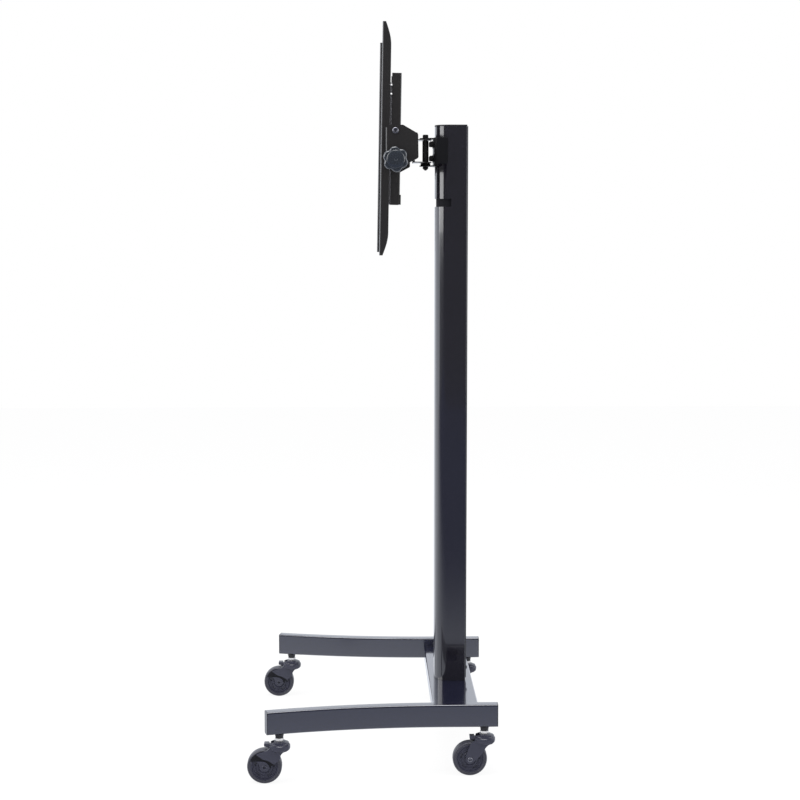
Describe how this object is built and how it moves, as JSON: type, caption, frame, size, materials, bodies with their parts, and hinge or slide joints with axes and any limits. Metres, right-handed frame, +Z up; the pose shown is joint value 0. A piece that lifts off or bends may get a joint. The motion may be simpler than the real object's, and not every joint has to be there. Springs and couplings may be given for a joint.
{
  "type": "pedestal tv stand",
  "caption": "Wheeled pedestal stand for a flat screen: bowed legs on braked casters, a single column and a swivelling, tilting head with upright screen rails, in dark painted steel.",
  "frame": {"origin": "centre of the footprint on the floor", "axes": "+Z up; -Y the way the screen faces; +X the right-hand side as seen in the picture, nearest the camera"},
  "size_m": [0.7108, 0.544, 1.6268],
  "materials": {
    "leg_paint": "gloss powder coat",
    "column_paint": "gloss powder coat",
    "head_paint": "satin powder coat",
    "black_plastic": "moulded, fine grain",
    "knob_plastic": "moulded, glossy",
    "caster_plastic": "moulded, glossy",
    "tread": "smooth tread",
    "zinc": "bright zinc plate",
    "black_steel": "black plated steel"
  },
  "bodies": {
    "stand": {"leg_right": "leg_paint", "leg_left": "leg_paint", "leg_cap_front_right": "black_plastic", "leg_cap_front_left": "black_plastic", "leg_cap_rear_right": "black_plastic", "leg_cap_rear_left": "black_plastic", "base_plate": "leg_paint", "base_bolt_right_1": "black_steel", "base_bolt_right_2": "black_steel", "base_bolt_left_1": "black_steel", "base_bolt_left_2": "black_steel", "column_foot": "black_steel", "column": "column_paint", "column_rear_cover": "black_plastic", "column_cap": "black_plastic", "column_foot_screw_right": "black_steel", "column_foot_screw_left": "black_steel", "column_bracket": "head_paint", "bracket_bolt_right_1": "black_steel", "bracket_bolt_right_2": "black_steel", "bracket_bolt_left_1": "black_steel", "bracket_bolt_left_2": "black_steel", "swivel_pin": "black_steel", "swivel_nut": "black_steel", "swivel_washer": "black_steel", "stem_front_right": "zinc", "stem_front_left": "zinc", "stem_rear_right": "zinc", "stem_rear_left": "zinc"},
    "head": {"yoke": "head_paint", "swivel_barrel": "head_paint", "end_plate_right": "head_paint", "end_plate_left": "head_paint", "pivot_bolt_right": "zinc", "pivot_bolt_left": "zinc"},
    "tilt_frame": {"tilt_beam": "head_paint", "spine": "head_paint", "interface_plate": "head_paint"},
    "knob_right": {"tilt_knob_right": "knob_plastic"},
    "knob_left": {"tilt_knob_left": "knob_plastic"},
    "screen_rail_right": {"rail_right": "head_paint", "rail_clamp_right": "black_steel"},
    "screen_rail_left": {"rail_left": "head_paint", "rail_clamp_left": "black_steel"},
    "caster_front_right": {"fork_front_right": "caster_plastic", "axle_front_right": "zinc"},
    "wheel_body_front_right": {"wheel_front_right": "tread"},
    "brake_body_front_right": {"brake_front_right": "caster_plastic"},
    "caster_front_left": {"fork_front_left": "caster_plastic", "axle_front_left": "zinc"},
    "wheel_body_front_left": {"wheel_front_left": "tread"},
    "brake_body_front_left": {"brake_front_left": "caster_plastic"},
    "caster_rear_right": {"fork_rear_right": "caster_plastic", "axle_rear_right": "zinc"},
    "wheel_body_rear_right": {"wheel_rear_right": "tread"},
    "brake_body_rear_right": {"brake_rear_right": "caster_plastic"},
    "caster_rear_left": {"fork_rear_left": "caster_plastic", "axle_rear_left": "zinc"},
    "wheel_body_rear_left": {"wheel_rear_left": "tread"},
    "brake_body_rear_left": {"brake_rear_left": "caster_plastic"}
  },
  "joints": [
    {"name": "head_swivel", "type": "hinge", "parent": "stand", "child": "head", "pos_m": [0, 0.1238, 1.36], "axis": [0, 0, 1], "range_deg": [-45, 45]},
    {"name": "head_tilt", "type": "hinge", "parent": "head", "child": "tilt_frame", "pos_m": [0, 0.0489, 1.3937], "axis": [1, 0, 0], "range_deg": [-4, 16]},
    {"name": "knob_turn_right", "type": "hinge", "parent": "tilt_frame", "child": "knob_right", "pos_m": [0.2903, 0.0491, 1.33329], "axis": [1, 0, 0], "continuous": true},
    {"name": "knob_turn_left", "type": "hinge", "parent": "tilt_frame", "child": "knob_left", "pos_m": [-0.2903, 0.0491, 1.33329], "axis": [-1, 0, 0], "continuous": true},
    {"name": "rail_slide_right", "type": "slide", "parent": "tilt_frame", "child": "screen_rail_right", "axis": [1, 0, 0], "range_m": [-0.11, 0.03]},
    {"name": "rail_slide_left", "type": "slide", "parent": "tilt_frame", "child": "screen_rail_left", "axis": [1, 0, 0], "range_m": [-0.03, 0.11]},
    {"name": "caster_swivel_front_right", "type": "hinge", "parent": "stand", "child": "caster_front_right", "pos_m": [0.33191, -0.2025, 0.0917], "axis": [0, 0, 1], "continuous": true},
    {"name": "wheel_spin_front_right", "type": "hinge", "parent": "caster_front_right", "child": "wheel_body_front_right", "pos_m": [0.33191, -0.2345, 0.0375], "axis": [1, 0, 0], "continuous": true},
    {"name": "brake_press_front_right", "type": "hinge", "parent": "caster_front_right", "child": "brake_body_front_right", "pos_m": [0.33191, -0.217, 0.0825], "axis": [1, 0, 0], "range_deg": [0, 18]},
    {"name": "caster_swivel_front_left", "type": "hinge", "parent": "stand", "child": "caster_front_left", "pos_m": [-0.33191, -0.2025, 0.0917], "axis": [0, 0, 1], "continuous": true},
    {"name": "wheel_spin_front_left", "type": "hinge", "parent": "caster_front_left", "child": "wheel_body_front_left", "pos_m": [-0.33191, -0.2345, 0.0375], "axis": [1, 0, 0], "continuous": true},
    {"name": "brake_press_front_left", "type": "hinge", "parent": "caster_front_left", "child": "brake_body_front_left", "pos_m": [-0.33191, -0.217, 0.0825], "axis": [1, 0, 0], "range_deg": [0, 18]},
    {"name": "caster_swivel_rear_right", "type": "hinge", "parent": "stand", "child": "caster_rear_right", "pos_m": [0.2903, 0.243, 0.0917], "axis": [0, 0, 1], "continuous": true},
    {"name": "wheel_spin_rear_right", "type": "hinge", "parent": "caster_rear_right", "child": "wheel_body_rear_right", "pos_m": [0.2903, 0.211, 0.0375], "axis": [1, 0, 0], "continuous": true},
    {"name": "brake_press_rear_right", "type": "hinge", "parent": "caster_rear_right", "child": "brake_body_rear_right", "pos_m": [0.2903, 0.2285, 0.0825], "axis": [1, 0, 0], "range_deg": [0, 18]},
    {"name": "caster_swivel_rear_left", "type": "hinge", "parent": "stand", "child": "caster_rear_left", "pos_m": [-0.2903, 0.243, 0.0917], "axis": [0, 0, 1], "continuous": true},
    {"name": "wheel_spin_rear_left", "type": "hinge", "parent": "caster_rear_left", "child": "wheel_body_rear_left", "pos_m": [-0.2903, 0.211, 0.0375], "axis": [1, 0, 0], "continuous": true},
    {"name": "brake_press_rear_left", "type": "hinge", "parent": "caster_rear_left", "child": "brake_body_rear_left", "pos_m": [-0.2903, 0.2285, 0.0825], "axis": [1, 0, 0], "range_deg": [0, 18]}
  ]
}
